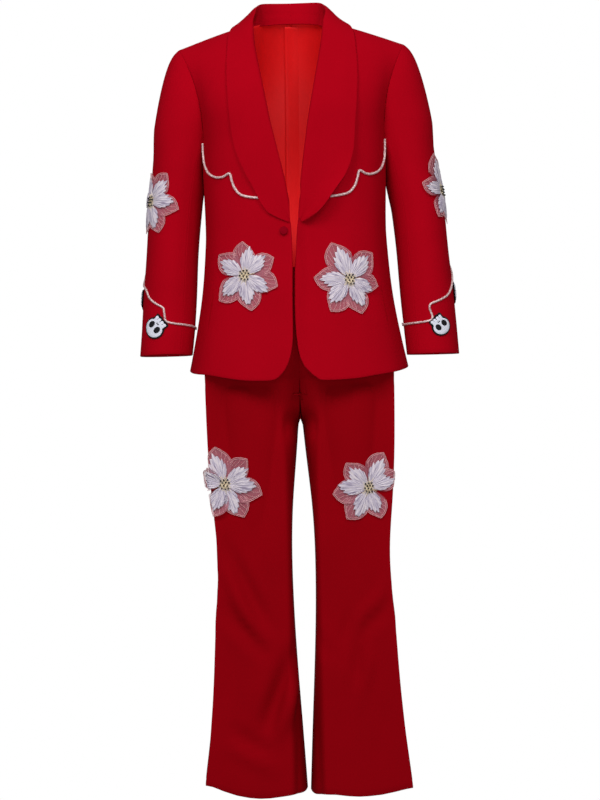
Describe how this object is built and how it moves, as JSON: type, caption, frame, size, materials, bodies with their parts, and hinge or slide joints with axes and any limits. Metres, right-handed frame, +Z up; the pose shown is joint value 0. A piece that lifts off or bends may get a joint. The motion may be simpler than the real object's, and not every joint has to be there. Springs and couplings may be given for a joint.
{
  "type": "western suit",
  "caption": "Worn-form western suit: open shawl-collar jacket and flared trousers in red cloth, with silver cord, flower appliques and skull patches.",
  "frame": {"origin": "midway between the two points where the shoulder seams meet the neck", "axes": "+Z up the wearer's spine, the front faces -Y, the wearer's left side is +X"},
  "size_m": [0.6233, 0.2813, 1.56],
  "materials": {
    "suiting": "matt red wool suiting",
    "trouser_cloth": "matt darker red wool suiting",
    "lining_satin": "satin lining",
    "silver_cord": "twisted metallic thread",
    "organza": "sheer pink organza over red cloth",
    "petal_embroidery": "white satin-stitch embroidery",
    "patch_cloth": "white embroidered twill",
    "covered_button": "button covered in the suiting"
  },
  "bodies": {
    "root": {"front_left": "suiting", "front_right": "suiting", "back_left": "suiting", "back_right": "suiting", "lining_left": "lining_satin", "lining_right": "lining_satin", "sleeve_top_left": "suiting", "sleeve_top_right": "suiting", "sleeve_under_left": "suiting", "sleeve_under_right": "suiting", "collar_left": "suiting", "collar_right": "suiting", "yoke_cord_left": "silver_cord", "yoke_cord_right": "silver_cord", "cuff_cord_left": "silver_cord", "cuff_cord_right": "silver_cord", "skull_front_left": "patch_cloth", "skull_front_right": "patch_cloth", "skull_outer_left": "patch_cloth", "skull_outer_right": "patch_cloth", "trouser_front_left": "trouser_cloth", "trouser_front_right": "trouser_cloth", "trouser_back_left": "trouser_cloth", "trouser_back_right": "trouser_cloth", "waistband_left": "trouser_cloth", "waistband_right": "trouser_cloth", "organza_front_left": "organza", "petals_front_left": "petal_embroidery", "organza_front_right": "organza", "petals_front_right": "petal_embroidery", "organza_sleeve_left": "organza", "petals_sleeve_left": "petal_embroidery", "organza_sleeve_right": "organza", "petals_sleeve_right": "petal_embroidery", "organza_leg_left": "organza", "petals_leg_left": "petal_embroidery", "organza_leg_right": "organza", "petals_leg_right": "petal_embroidery", "button": "covered_button"}
  },
  "joints": []
}
